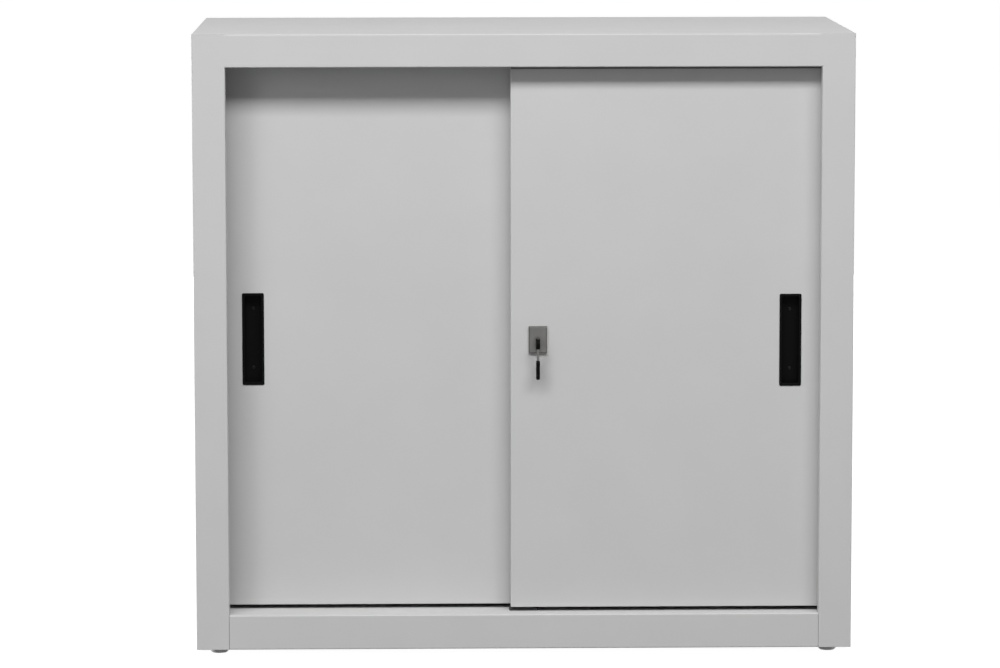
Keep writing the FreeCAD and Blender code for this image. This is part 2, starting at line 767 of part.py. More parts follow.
for name, low_x, high_x, face, pull_x in (
        ("left_door", -door_outer, s.door_overlap / 2, rear_door_face, s.rear_pull_inset - door_outer),
        ("right_door", -s.door_overlap / 2, door_outer, front_door_face, door_outer - s.front_pull_inset)):
    rear = face + s.door_thickness
    middle = (low_x + high_x) / 2

    # The skin: face, side returns with lips, a top return with a lip and a short bottom return.
    skin = Piece(name + "_skin")
    skin.fold("XY", door_bottom, door_top,
              [(low_x + s.door_lip, rear), (low_x, rear), (low_x, face), (high_x, face), (high_x, rear),
               (high_x - s.door_lip, rear)], gauge)
    skin.fold("YZ", low_x + gauge / 2, high_x - gauge / 2,
              [(face + gauge / 2, door_top), (rear, door_top), (rear, door_top - s.door_lip)], -gauge)
    skin.pad("XY", door_bottom, door_bottom + gauge,
             rectangle(low_x + gauge / 2, face + gauge / 2,
                       high_x - gauge / 2, face + s.door_bottom_return))
    # Holes: the pull's cup, the hanger screws and, in the front door, the lock.
    skin.cut("XZ", face - gauge, face + gauge * 2,
             rectangle(pull_x - pull_cup_half_width - s.fit_gap,
                       s.pull_centre_height - pull_cup_half_height - s.fit_gap,
                       pull_x + pull_cup_half_width + s.fit_gap,
                       s.pull_centre_height + pull_cup_half_height + s.fit_gap))
    hanger_middles = (low_x + s.hanger_inset + s.hanger_length / 2,
                      high_x - s.hanger_inset - s.hanger_length / 2)
    plate_rear = face + s.hanger_setback
    screw_y = plate_rear - s.hanger_foot / 2 - s.hanger_gauge / 2
    screw_places = [centre + turn * s.hanger_screw_spread / 2 for centre in hanger_middles for turn in (-1, 1)]
    skin.cut("XY", door_top - gauge * 2, door_top + gauge,
             *[(x, screw_y, s.screw_radius + s.bore_clearance) for x in screw_places])
    if name == "right_door":
        skin.cut("XZ", face - gauge, face + gauge * 2,
                 (lock_x, lock_z, s.barrel_radius + s.fit_gap),
                 *[(lock_x, z, s.small_screw_radius + s.bore_clearance) for z in lock_screws_z])
    keep(skin)

    stiffener = Piece(name + "_stiffener")
    crown = s.stiffener_crown / 2
    foot = crown + s.stiffener_flange
    seat = face + gauge + s.fit_gap
    stiffener.fold("XY", door_bottom + s.stiffener_margin, door_top - s.stiffener_margin,
                   [(middle - foot, seat), (middle - crown, seat), (middle - crown, seat + s.stiffener_depth),
                    (middle + crown, seat + s.stiffener_depth), (middle + crown, seat), (middle + foot, seat)],
                   gauge)
    keep(stiffener)

    # The channel is one extrusion: a web across the pan and two legs astride the guide's fin.
    channel = Piece(name + "_bottom_channel")
    leg = face + s.channel_setback
    groove = leg + s.channel_gauge
    web_top = door_bottom + s.channel_height
    web_bottom = web_top - s.channel_gauge
    channel.pad("YZ", low_x + s.bend_radius, high_x - s.bend_radius,
                [(seat, web_top), (seat, web_bottom), (leg, web_bottom), (leg, door_bottom),
                 (groove, door_bottom), (groove, web_bottom), (groove + s.channel_gap, web_bottom),
                 (groove + s.channel_gap, door_bottom),
                 (groove + s.channel_gap + s.channel_gauge, door_bottom),
                 (groove + s.channel_gap + s.channel_gauge, web_bottom),
                 (rear - gauge - s.fit_gap, web_bottom), (rear - gauge - s.fit_gap, web_top)])
    keep(channel)

    # Hangers, axles and rollers, a pair on each door.
    hanger_crest = axle_height + s.hanger_crest
    hanger = Piece(name + "_hanger")
    hanger.fold("YZ", -s.hanger_length / 2, s.hanger_length / 2,
                [(plate_rear - s.hanger_foot, door_top), (plate_rear, door_top), (plate_rear, hanger_crest)],
                s.hanger_gauge)
    hanger.cut("XZ", plate_rear - s.hanger_gauge * 2, plate_rear + s.hanger_gauge,
               (as_size(0), axle_height, s.axle_radius + s.bore_clearance))
    hanger.cut("XY", door_top - gauge, door_top + s.hanger_gauge + gauge,
               *[(turn * s.hanger_screw_spread / 2, screw_y, s.screw_radius + s.bore_clearance)
                 for turn in (-1, 1)])
    hanger.round_corners("XZ", [(turn * s.hanger_length / 2, hanger_crest) for turn in (-1, 1)],
                         s.hanger_crest * 0.6)
    keep(group(name + "_hangers", [(hanger, (x, as_size(0), as_size(0)), None) for x in hanger_middles]))
    keep(group(name + "_hanger_screws",
               [(hanger_screw, (x, screw_y, door_top + s.hanger_gauge), None) for x in screw_places]))

    lip_middle = face - s.track_setback + s.track_width - s.track_gauge / 2
    roller_front = lip_middle - s.roller_width / 2
    roller_rear = roller_front + s.roller_width
    head_rear = roller_front - s.axle_play
    plate_front_face = plate_rear - s.hanger_gauge
    axle = Piece(name + "_axle")
    shoulder_front = roller_rear + s.axle_play
    grip_front = head_rear - s.axle_head
    reach = [as_size(0), head_rear - grip_front, shoulder_front - grip_front,
             plate_front_face - grip_front, plate_rear - grip_front,
             plate_rear - grip_front + s.axle_head]
    radius, wide = s.axle_radius, s.axle_head_radius
    axle.turn([(0, reach[0]), (wide, reach[0]), (wide, reach[1]), (radius, reach[1]), (radius, reach[2]),
               (wide, reach[2]), (wide, reach[3]), (radius, reach[3]), (radius, reach[4]),
               (wide, reach[4]), (wide, reach[5]), (0, reach[5])])
    keep(group(name + "_axles", [(axle, (x, grip_front, axle_height), TO_BACK) for x in hanger_middles]))

    for end, x in zip(("left", "right"), hanger_middles):
        roller = Piece(f"{name}_{end}_roller")
        cheek = (s.roller_width - s.roller_groove) / 2
        bore = s.axle_radius + s.bore_clearance
        slope = (s.roller_flange_radius - s.roller_tread_radius) / 4
        roller.turn([(bore, 0), (s.roller_flange_radius - slope, 0), (s.roller_flange_radius, slope),
                     (s.roller_flange_radius, cheek - slope), (s.roller_tread_radius, cheek),
                     (s.roller_tread_radius, cheek + s.roller_groove),
                     (s.roller_flange_radius, cheek + s.roller_groove + slope),
                     (s.roller_flange_radius, s.roller_width - slope),
                     (s.roller_flange_radius - slope, s.roller_width), (bore, s.roller_width)])
        keep(roller.place(x, roller_front, axle_height, TO_BACK))

    # The recessed pull: a rim on the face and a cup through it.
    pull = Piece(name + "_pull")
    half_width = s.pull_width / 2
    half_height = s.pull_height / 2
    hollow_width = half_width - s.pull_rim
    hollow_height = half_height - s.pull_rim
    pull.pad("XZ", face - s.pull_proud, face, rectangle(-half_width, -half_height, half_width, half_height))
    pull.round_corners("XZ", [(u * half_width, v * half_height) for u in (-1, 1) for v in (-1, 1)],
                       s.pull_corner)
    pull.pad("XZ", face, face + s.pull_depth,
             rectangle(-pull_cup_half_width, -pull_cup_half_height, pull_cup_half_width, pull_cup_half_height))
    pull.cut("XZ", face - s.pull_proud - gauge, face + s.pull_depth - s.pull_floor,
             rectangle(-hollow_width, -hollow_height, hollow_width, hollow_height))
    pull.round_corners("XZ", [(u * hollow_width, v * hollow_height) for u in (-1, 1) for v in (-1, 1)],
                       s.pull_corner)
    pull.cut("XZ", face + s.pull_depth - s.pull_floor * 2, face + s.pull_depth + gauge,
             *[(as_size(0), turn * s.pull_screw_spread / 2, s.small_screw_radius + s.bore_clearance)
               for turn in (-1, 1)])
    front_face = (face - s.pull_proud).value
    pull.soften(lambda edge: abs(edge.BoundBox.YMin - front_face) < 1e-6
                and abs(edge.BoundBox.YMax - front_face) < 1e-6, s.pull_proud * 0.35, "Chamfer")
    keep(pull.place(pull_x, as_size(0), s.pull_centre_height))

    strap = Piece(name + "_pull_strap")
    strap_bend = pull_cup_half_height + s.strap_margin
    strap_seat = face + s.pull_depth + s.fit_gap
    strap.fold("YZ", -s.strap_width / 2, s.strap_width / 2,
               [(seat, -strap_bend - s.strap_foot), (seat, -strap_bend), (strap_seat, -strap_bend),
                (strap_seat, strap_bend), (seat, strap_bend), (seat, strap_bend + s.strap_foot)], -gauge)
    strap.cut("XZ", strap_seat - gauge, strap_seat + gauge * 2,
              *[(as_size(0), turn * s.pull_screw_spread / 2, s.small_screw_radius + s.bore_clearance)
                for turn in (-1, 1)])
    keep(strap.place(pull_x, as_size(0), s.pull_centre_height))
    cup_floor = face + s.pull_depth - s.pull_floor
    keep(group(name + "_pull_screws",
               [(pull_screw, (pull_x, cup_floor, s.pull_centre_height + turn * s.pull_screw_spread / 2), TO_FRONT)
                for turn in (-1, 1)]))

# ---------------------------------------------------------------------------
# Lock: a bevelled housing on the front door, with a turning plug and cam
# ---------------------------------------------------------------------------
lock_face = front_door_face - s.lock_proud
barrel_rear = front_door_face + s.barrel_length
plug_front = lock_face - s.plug_proud
plug_rear = barrel_rear + s.plug_tail

housing = Piece("lock_housing")
housing.pad("XZ", lock_face, front_door_face,
            rectangle(-s.lock_width / 2, s.lock_rise - s.lock_height / 2,
                      s.lock_width / 2, s.lock_rise + s.lock_height / 2))
housing.soften(lambda edge: abs(edge.BoundBox.YMin - lock_face.value) < 1e-6
               and abs(edge.BoundBox.YMax - lock_face.value) < 1e-6, s.lock_bevel, "Chamfer")
housing.pad("XZ", front_door_face, barrel_rear, (as_size(0), as_size(0), s.barrel_radius))
housing.cut("XZ", lock_face - gauge, barrel_rear + gauge,
            (as_size(0), as_size(0), s.plug_radius + s.bore_clearance))
housing.cut("XZ", lock_face + s.lock_proud / 3, front_door_face + gauge,
            *[(as_size(0), z - lock_z, s.small_screw_radius + s.bore_clearance) for z in lock_screws_z])
keep(housing.place(lock_x, as_size(0), lock_z))

retainer = Piece("lock_retainer")
retainer_front = front_door_face + gauge + s.fit_gap
retainer_rear = retainer_front + s.retainer_gauge
retainer.pad("XZ", retainer_front, retainer_rear,
             rectangle(-s.retainer_width / 2, s.lock_rise - s.retainer_height / 2 - s.lock_bevel,
                       s.retainer_width / 2, s.lock_rise + s.retainer_height / 2 - s.lock_bevel))
retainer.cut("XZ", retainer_front - gauge, retainer_rear + gauge,
             (as_size(0), as_size(0), s.barrel_radius + s.fit_gap),
             *[(as_size(0), z - lock_z, s.small_screw_radius + s.bore_clearance) for z in lock_screws_z])
keep(retainer.place(lock_x, as_size(0), lock_z))

lock_screw = screw("lock_screw", s.small_screw_radius, s.small_screw_head_radius, s.small_screw_head,
                   s.retainer_gauge + gauge + s.lock_proud / 2)
keep(group("lock_screws", [(lock_screw, (lock_x, retainer_rear, z), TO_BACK) for z in lock_screws_z]))

plug = Piece("lock_plug")
plug.pad("XZ", plug_front, plug_rear, (as_size(0), as_size(0), s.plug_radius))
plug.cut("XZ", plug_front - gauge, plug_front + s.keyway_depth,
         rectangle(-s.keyway_width / 2, -s.keyway_height / 2, s.keyway_width / 2, s.keyway_height / 2))
plug.cut("XZ", plug_rear - s.small_screw_radius * 3, plug_rear + gauge,
         (as_size(0), as_size(0), s.small_screw_radius + s.bore_clearance))
keep(plug.place(lock_x, as_size(0), lock_z))

# The cam points to the right when the lock is open and hangs down when it is shut.
cam = Piece("lock_cam")
cam_rear = plug_rear + s.cam_gauge
cam_half = s.cam_width / 2
cam.pad("XZ", plug_rear, cam_rear,
        rectangle(-cam_half, -cam_half, s.cam_length, cam_half))
cam.round_corners("XZ", [(s.cam_length, -cam_half), (s.cam_length, cam_half),
                         (-cam_half, -cam_half), (-cam_half, cam_half)], cam_half * 0.8)
cam.cut("XZ", plug_rear - gauge, cam_rear + gauge,
        (as_size(0), as_size(0), s.small_screw_radius + s.bore_clearance))
keep(cam.place(lock_x, as_size(0), lock_z))

cam_screw = screw("lock_cam_screw", s.small_screw_radius, s.small_screw_head_radius,
                  s.small_screw_head, s.cam_gauge + s.small_screw_radius * 2.5)
keep(cam_screw.place(lock_x, cam_rear, lock_z, TO_BACK))

# The strike is an angle on the rear door; its flange stands beside the lowered cam.
strike = Piece("lock_strike")
strike_edge = lock_x - s.cam_width / 2 - s.strike_gap
strike_reach = plug_rear + s.strike_gap / 2
strike_top = lock_z - s.strike_drop
strike.fold("XY", strike_top - s.strike_height, strike_top,
            [(strike_edge - s.strike_foot, rear_door_face), (strike_edge, rear_door_face),
             (strike_edge, strike_reach)], -s.strike_gauge)
keep(strike)

# ---------------------------------------------------------------------------
# Key: a blade in the plug and a head that folds on a pin
# ---------------------------------------------------------------------------
pivot_y = lock_face - s.pivot_reach
blade = Piece("key_blade")
blade_end = plug_front + s.blade_insertion
blade_half = s.blade_thickness / 2
blade.pad("YZ", -blade_half, blade_half,
          rectangle(as_size(0), -s.blade_height / 2, blade_end - pivot_y, s.blade_height / 2))
blade.pad("YZ", -blade_half, blade_half, (as_size(0), as_size(0), s.eye_radius))
blade.cut("YZ", -s.blade_thickness, s.blade_thickness,
          (as_size(0), as_size(0), s.pivot_radius + s.bore_clearance))
notch = s.blade_height / 4
for step, deep in ((6.0, 1.0), (10.0, 0.6), (14.0, 1.2)):
    middle_y = blade_end - pivot_y - step
    blade.cut("YZ", -s.blade_thickness, s.blade_thickness,
              [(middle_y - notch, -s.blade_height / 2 - gauge), (middle_y + notch, -s.blade_height / 2 - gauge),
               (middle_y + notch / 3, -s.blade_height / 2 + notch * deep),
               (middle_y - notch / 3, -s.blade_height / 2 + notch * deep)])
keep(blade.place(lock_x, pivot_y, lock_z))

# The head is a moulded knuckle around the blade's eye, a flat steel tang and a moulded grip.
# The knuckle is open behind and above, where the blade comes to lie as the head folds.
cheek_inner = blade_half + s.fit_gap
cheek_outer = cheek_inner + s.knuckle_wall
eye_room = s.eye_radius + s.fit_gap * 2
knuckle_radius = eye_room + s.knuckle_wall
blade_room = s.blade_height / 2 + s.fit_gap * 2
tang_half = s.tang_gauge / 2
tang_edge = s.tang_width / 2
tang_top = -(eye_room + s.knuckle_wall / 5)
knuckle = Piece("key_knuckle")
knuckle.pad("YZ", -cheek_outer, cheek_outer, (as_size(0), as_size(0), knuckle_radius))
outer = cheek_outer.value
knuckle.soften(lambda edge: edge.BoundBox.XLength < 1e-6 and abs(abs(edge.BoundBox.XMin) - outer) < 1e-6,
               s.knuckle_wall * 0.4)
knuckle.cut("YZ", -cheek_inner, cheek_inner,
            rectangle(-blade_room, -blade_room, knuckle_radius * 1.2, knuckle_radius * 1.2))
knuckle.cut("YZ", -cheek_inner, cheek_inner, (as_size(0), as_size(0), eye_room))
knuckle.cut("YZ", -cheek_outer * 2, cheek_outer * 2,
            (as_size(0), as_size(0), s.pivot_radius + s.bore_clearance))
knuckle.cut("XY", -knuckle_radius - gauge, tang_top,
            rectangle(-tang_half - s.bore_clearance, -tang_edge - s.bore_clearance,
                      tang_half + s.bore_clearance, tang_edge + s.bore_clearance))
keep(knuckle.place(lock_x, pivot_y, lock_z))

tang = Piece("key_tang")
tang.pad("XY", -s.tang_length, tang_top, rectangle(-tang_half, -tang_edge, tang_half, tang_edge))
keep(tang.place(lock_x, pivot_y, lock_z))

pin = Piece("key_pivot_pin")
pin_half = cheek_outer
pin.pad("YZ", -pin_half, pin_half, (as_size(0), as_size(0), s.pivot_radius))
keep(pin.place(lock_x, pivot_y, lock_z))

grip = Piece("key_grip")
grip_half = s.grip_width / 2
grip_low = -s.grip_drop - s.grip_length
grip_corner = s.grip_width / 4
grip.pad("YZ", -s.grip_thickness / 2, s.grip_thickness / 2,
         rectangle(-grip_half, grip_low, grip_half, -s.grip_drop))
grip.round_corners("YZ", [(u * grip_half, v) for u in (-1, 1) for v in (grip_low, -s.grip_drop)], grip_corner)
flat = s.grip_thickness.value / 2
grip.soften(lambda edge: edge.BoundBox.XLength < 1e-6 and abs(abs(edge.BoundBox.XMin) - flat) < 1e-6,
            s.grip_thickness * 0.2, "Chamfer")
grip.cut("XY", -s.tang_length, -s.grip_drop + gauge,
         rectangle(-tang_half - s.bore_clearance, -tang_edge - s.bore_clearance,
                   tang_half + s.bore_clearance, tang_edge + s.bore_clearance))
keep(grip.place(lock_x, pivot_y, lock_z))

# ---------------------------------------------------------------------------
# Checks, then one file for each node
# ---------------------------------------------------------------------------
document.recompute()
for thing in document.Objects:
    if {"Invalid", "Error"} & set(thing.State):
        raise RuntimeError(f"{thing.Label} failed: {thing.State}")
for node in nodes:
    if node.Shape.isNull() or not node.Shape.isValid() or not node.Shape.Solids:
        raise RuntimeError(f"{node.Label} has no valid solid")

os.makedirs("parts", exist_ok=True)
for node in nodes:
    node.Shape.exportStep(f"parts/{node.Label}.step")
    print(f"{node.Label}: {len(node.Shape.Solids)} solid(s), {node.Shape.Volume / 1000:.2f} cm3")
print(len(nodes), "nodes")
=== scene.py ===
# %% [markdown]
# # A low steel cupboard with two sliding doors
#
# The cupboard arrives as a finished assembly: every folded sheet, track, roller,
# lock part and foot is already a solid of its own, and each rides on the body it
# moves with. What is left to do is the work of a finisher and a photographer:
# give each piece its real surface, add the few things that are too fine for the
# solids, such as threads and screw recesses, and light the whole cupboard.

# %% Load the assembled cupboard
import bpy
import bmesh
import json
import math
from mathutils import Matrix, Vector


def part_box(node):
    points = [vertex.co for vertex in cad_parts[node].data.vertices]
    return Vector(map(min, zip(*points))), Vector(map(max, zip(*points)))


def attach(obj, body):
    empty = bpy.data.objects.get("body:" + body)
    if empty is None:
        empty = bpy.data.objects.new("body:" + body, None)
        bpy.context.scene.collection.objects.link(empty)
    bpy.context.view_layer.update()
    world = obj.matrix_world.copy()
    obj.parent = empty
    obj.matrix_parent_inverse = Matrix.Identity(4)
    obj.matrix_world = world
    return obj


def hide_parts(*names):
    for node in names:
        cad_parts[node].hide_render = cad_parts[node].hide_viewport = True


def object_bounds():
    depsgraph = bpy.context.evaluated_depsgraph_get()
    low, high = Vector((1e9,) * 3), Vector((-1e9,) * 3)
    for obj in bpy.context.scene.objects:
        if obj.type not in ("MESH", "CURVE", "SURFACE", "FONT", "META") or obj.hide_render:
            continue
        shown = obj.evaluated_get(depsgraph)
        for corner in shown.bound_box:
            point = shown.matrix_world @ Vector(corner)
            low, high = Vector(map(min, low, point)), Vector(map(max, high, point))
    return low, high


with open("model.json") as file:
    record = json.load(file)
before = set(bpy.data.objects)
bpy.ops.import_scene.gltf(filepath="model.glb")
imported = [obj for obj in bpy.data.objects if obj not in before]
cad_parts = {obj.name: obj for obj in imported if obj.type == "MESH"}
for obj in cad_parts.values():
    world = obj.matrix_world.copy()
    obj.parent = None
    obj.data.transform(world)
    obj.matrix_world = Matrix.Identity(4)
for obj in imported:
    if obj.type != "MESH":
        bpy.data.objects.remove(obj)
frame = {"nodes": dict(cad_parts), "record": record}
nodes = frame["nodes"]
solid_low, solid_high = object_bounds()

# %% [markdown]
# ## Camera
#
# The cupboard is seen almost square on, from a little above its top and from far
# enough away that its uprights stay nearly parallel. A long lens does this. The
# camera could be aimed with a tracking constraint, but a plain position and
# three angles are easier to reason about: tilt down, turn to the right, roll.

# %% Stand the camera in front of the doors
LENS = 159.62                               # in millimetres, as is the sensor
SENSOR_WIDTH = 36.0
CAMERA_PLACE = (-0.1513, -6.2275, 1.1781)   # in metres, as is the farthest view
FARTHEST_VIEW = 60.0
TILT_DOWN = 6.970                           # in degrees, as are the next two
TURN_RIGHT = 1.129
ROLL = -0.053

camera_data = bpy.data.cameras.new("camera")
camera_data.lens = LENS
camera_data.sensor_width = SENSOR_WIDTH
camera_data.clip_end = FARTHEST_VIEW
camera = bpy.data.objects.new("camera", camera_data)
bpy.context.scene.collection.objects.link(camera)
aim = Matrix.Rotation(math.radians(-TURN_RIGHT), 4, "Z")
aim = aim @ Matrix.Rotation(math.radians(90 - TILT_DOWN), 4, "X")
aim = aim @ Matrix.Rotation(math.radians(ROLL), 4, "Z")
camera.matrix_world = Matrix.Translation(CAMERA_PLACE) @ aim
bpy.context.scene.camera = camera
bpy.context.scene.view_settings.view_transform = "Standard"
print("camera", [round(v, 3) for v in camera.matrix_world.translation])

# %% [markdown]
# ## A small helper for finishes
#
# Every finish below starts in the same way: a new material, its shader, and
# coordinates measured on the piece in metres, so that a grain of half a
# millimetre is half a millimetre on a door and on a screw alike. The helper
# keeps that start in one place, and turns the few nodes that all finishes share
# into plain words. What makes a finish look real is added cell by cell: how its
# colour drifts, how its gloss varies, and how its surface rolls.

# %% Start a finish
NOISE_LOW, NOISE_HIGH = 0.3, 0.7    # nearly all of a noise lies between these
BEVEL_SAMPLES = 4


class Finish:
    """A material with its shader and a few shortcuts for its nodes."""

    def __init__(self, name):
        self.material = bpy.data.materials.new(name)
        self.material.use_nodes = True
        self.tree = self.material.node_tree
        self.shader = self.tree.nodes["Principled BSDF"]
        self.place = self.tree.nodes.new("ShaderNodeTexCoord").outputs["Object"]

    def node(self, kind, **settings):
        """Add a node and set its inputs by name."""
        made = self.tree.nodes.new("ShaderNode" + kind)
        for key, value in settings.items():
            made.inputs[key.replace("_", " ")].default_value = value
        return made

    def link(self, output, target):
        """Join an output to an input; calls can be chained."""
        self.tree.links.new(output, target)
        return self

    def stretched(self, along):
        """Coordinates squeezed along some axes, for brushed or drawn grain."""
        mapping = self.node("Mapping", Scale=along)
        self.link(self.place, mapping.inputs["Vector"])
        return mapping.outputs["Vector"]

    def noise(self, scale, detail, vector=None):
        """Cloudy noise; scale is in clouds for each metre."""
        made = self.node("TexNoise", Scale=scale, Detail=detail)
        self.link(vector or self.place, made.inputs["Vector"])
        return made.outputs["Fac"]

    def ramp(self, value, low, high):
        """Turn a noise value into a colour between two colours."""
        made = self.tree.nodes.new("ShaderNodeValToRGB")
        made.color_ramp.elements[0].position = NOISE_LOW
        made.color_ramp.elements[1].position = NOISE_HIGH
        made.color_ramp.elements[0].color = (*low, 1)
        made.color_ramp.elements[1].color = (*high, 1)
        self.link(value, made.inputs["Fac"])
        return made.outputs["Color"]

    def vary(self, value, low, high):
        """Turn a noise value into a number between two numbers."""
        made = self.node("MapRange", From_Min=NOISE_LOW, From_Max=NOISE_HIGH,
                         To_Min=low, To_Max=high)
        self.link(value, made.inputs["Value"])
        return made.outputs["Result"]

    def relief(self, height, distance, strength, under=None):
        """Raise and sink the surface by a noise height, in metres."""
        made = self.node("Bump", Strength=strength, Distance=distance)
        self.link(height, made.inputs["Height"])
        if under:
            self.link(under, made.inputs["Normal"])
        return made.outputs["Normal"]

    def rounded(self, radius):
        """Round every edge by a radius in metres."""
        made = self.node("Bevel", Radius=radius)
        made.samples = BEVEL_SAMPLES
        return made.outputs["Normal"]


def grey(level):
    """A neutral colour from one linear level."""
    return (level, level, level)


print("finishes are measured in metres on each piece")

# %% [markdown]
# ## Worn edges, with a painted highlight on the coat
#
# Hands and boxes polish an edge before they reach the flat beside it. The bevel
# node, which rounds an edge in the shading, also finds it: where its normal leans
# away from the true one, there is an edge. That gives a mask without painting a
# texture or unwrapping, and it still fits after a piece changes its size. On the
# powder coat, the paler colour it puts on the edges is partly a painted highlight.

# %% Find the edges and wear them
FLAT_LEAN, EDGE_LEAN = 0.995, 0.86    # cosine of the lean, on the flat and on an edge


def edge_mask(finish, rounded):
    """1 on an edge, 0 on the flat, from how far the bevel turns the surface."""
    straight = finish.tree.nodes.new("ShaderNodeNewGeometry").outputs["True Normal"]
    lean = finish.node("VectorMath")
    lean.operation = "DOT_PRODUCT"
    finish.link(straight, lean.inputs[0]).link(rounded, lean.inputs[1])
    mask = finish.node("MapRange", From_Min=FLAT_LEAN, From_Max=EDGE_LEAN,
                       To_Min=0.0, To_Max=1.0)
    finish.link(lean.outputs["Value"], mask.inputs["Value"])
    return mask.outputs["Result"]


def edge_colour(finish, mask, flat, edge):
    """Cross from the flat's colour to one fixed colour on the edges."""
    mix = finish.tree.nodes.new("ShaderNodeMix")
    mix.data_type = "RGBA"
    mix.inputs["B"].default_value = (*edge, 1)
    finish.link(mask, mix.inputs["Factor"]).link(flat, mix.inputs["A"])
    return mix.outputs["Result"]


def edge_number(finish, mask, flat, edge):
    """Cross from the flat's value to one fixed value on the edges."""
    mix = finish.node("MapRange", From_Min=0.0, From_Max=1.0)
    finish.link(mask, mix.inputs["Value"])
    finish.link(flat, mix.inputs["To Min"])
    mix.inputs["To Max"].default_value = edge
    return mix.outputs["Result"]


print("an edge is worn where the bevel leans the surface by more than",
      round(math.degrees(math.acos(FLAT_LEAN)), 1), "degrees")

# %% [markdown]
# ## Powder coat
#
# The sheet steel is sprayed with dry powder and baked. Up close such a coat is
# not flat: it rolls gently like orange peel, at about two millimetres, with a
# much finer grit on top. The colour itself is very even, so the relief carries
# the finish, the colour only drifts by a percent or two, and the gloss wanders a
# little between satin and silk.
#
# Where the sheet is folded or cut, the coat pulls round the edge in a tiny radius
# that is finer than the sheet, so a bevel node gives it. The coat gets thin there
# and is polished first, so the edge is glossier. It is also slightly paler, partly
# from that wear and partly as a painted highlight along the folds.

# %% Mix the powder coat
GREY_LEVEL = 0.56                       # linear level of the paint
DRIFT_DARK, DRIFT_PALE = 0.985, 1.012   # drift of the colour, as shares of the level
DRIFT_CLOUDS, GLOSS_CLOUDS = 9, 70      # clouds for each metre
SILK, SATIN = 0.56, 0.66                # roughness
POLISHED_AND_HIGHLIGHT_PALER, POLISHED_ROUGHNESS = 1.02, 0.50
PEEL_BUMPS, PEEL_HEIGHT = 520, 0.00006  # bumps for each metre, and metres
GRIT_BUMPS, GRIT_HEIGHT = 3200, 0.00002
COAT_RADIUS = 0.0007                    # metres
COAT_SPECULAR = 0.26


def powder_coat(name, level, rounding=True):
    """Baked powder paint, with or without the rounding of its edges."""
    coat = Finish(name)
    colour = coat.ramp(coat.noise(DRIFT_CLOUDS, detail=3.0),
                       grey(level * DRIFT_DARK), grey(level * DRIFT_PALE))
    gloss = coat.vary(coat.noise(GLOSS_CLOUDS, detail=3.0), SILK, SATIN)
    under = None
    if rounding:
        under = coat.rounded(COAT_RADIUS)
        edges = edge_mask(coat, under)
        # The paler edge colour is partly wear and partly a painted highlight along the
        # folds.
        colour = edge_colour(coat, edges, colour, grey(level * POLISHED_AND_HIGHLIGHT_PALER))
        gloss = edge_number(coat, edges, gloss, POLISHED_ROUGHNESS)
    coat.link(colour, coat.shader.inputs["Base Color"])
    coat.link(gloss, coat.shader.inputs["Roughness"])
    rolls, specks = coat.noise(PEEL_BUMPS, detail=2.5), coat.noise(GRIT_BUMPS, detail=1.0)
    peel = coat.relief(rolls, PEEL_HEIGHT, strength=0.55, under=under)
    grit = coat.relief(specks, GRIT_HEIGHT, strength=0.45, under=peel)
    coat.link(grit, coat.shader.inputs["Normal"])
    coat.shader.inputs["Specular IOR Level"].default_value = COAT_SPECULAR
    return coat.material


coat = powder_coat("light_grey_powder_coat", GREY_LEVEL)
print("powder coat at linear level", GREY_LEVEL)

# %% [markdown]
# ## Metals
#
# Three bare metals are left on the cupboard. Zinc plate covers the hanging gear
# and screws: a bluish grey that is slightly cloudy. Satin nickel covers the lock
# and the key: darker, brushed one way. The bottom channels are raw aluminium
# with the fine lines of the die they were pressed through. In each, grain is
# made by squeezing a noise along one axis, and it drives gloss and relief.

# %% Plate, brush and draw the metals
CLOUD_SHADE = 0.86             # the clouds' darkest tone, as a share of the colour
GRAIN_ROUGHNESS = 0.07         # how far the grain moves the roughness
GRAIN_HEIGHT = 0.00001         # metres
METAL_RADIUS = 0.0003
EVEN_GRAIN = (700, 700, 700)   # lines for each metre, along x, y and z
BRUSHED_GRAIN = (260, 260, 2600)
DRAWN_GRAIN = (12, 2400, 2400)


def bare_metal(name, colour, grain, rough, cloud):
    """Bare or plated metal with clouds in its colour and grain in its gloss."""
    metal = Finish(name)
    lines = metal.noise(1.0, detail=3.0, vector=metal.stretched(grain))
    clouds = metal.noise(cloud, detail=4.0)
    darker = tuple(c * CLOUD_SHADE for c in colour)
    metal.link(metal.ramp(clouds, darker, colour), metal.shader.inputs["Base Color"])
    metal.shader.inputs["Metallic"].default_value = 1.0
    gloss = metal.vary(lines, rough - GRAIN_ROUGHNESS, rough + GRAIN_ROUGHNESS)
    metal.link(gloss, metal.shader.inputs["Roughness"])
    under = metal.rounded(METAL_RADIUS)
    surface = metal.relief(lines, GRAIN_HEIGHT, strength=0.5, under=under)
    metal.link(surface, metal.shader.inputs["Normal"])
    return metal.material


zinc = bare_metal("bright_zinc_plate", (0.50, 0.52, 0.54), EVEN_GRAIN,
                  rough=0.36, cloud=120.0)
nickel = bare_metal("satin_nickel", (0.150, 0.148, 0.142), BRUSHED_GRAIN,
                    rough=0.36, cloud=60.0)
drawn = bare_metal("drawn_aluminium", (0.60, 0.60, 0.61), DRAWN_GRAIN,
                   rough=0.40, cloud=14.0)
print("metals:", zinc.name, nickel.name, drawn.name)

# %% [markdown]
# ## Plastics and rubber
#
# The pulls, the key's head and the floor guide are black and moulded with a
# spark-eroded texture, so they drink nearly all light. The rollers are natural
# nylon: creamy, with light passing a little way in. The track stops are rubber,
# dull and slightly dusty, and the feet's pads are a paler one. The pulls' screws
# are blackened steel. One helper mixes them all, from a fine grain for the mould's
# texture and a broad one for handling marks. A moulded edge is never sharp, so a
# bevel node rounds it, and it is rubbed a little paler where fingers meet it.

# %% Mould the plastics
HANDLING_CLOUDS = 45                 # clouds for each metre
HANDLED_PALER, RUBBED_PALER = 1.25, 1.2
HANDLED_ROUGHNESS = 0.06             # how far handling moves the roughness
MOULD_RADIUS = 0.0004                # metres
INNER_REACH = 0.004                  # how far light passes into nylon, in metres


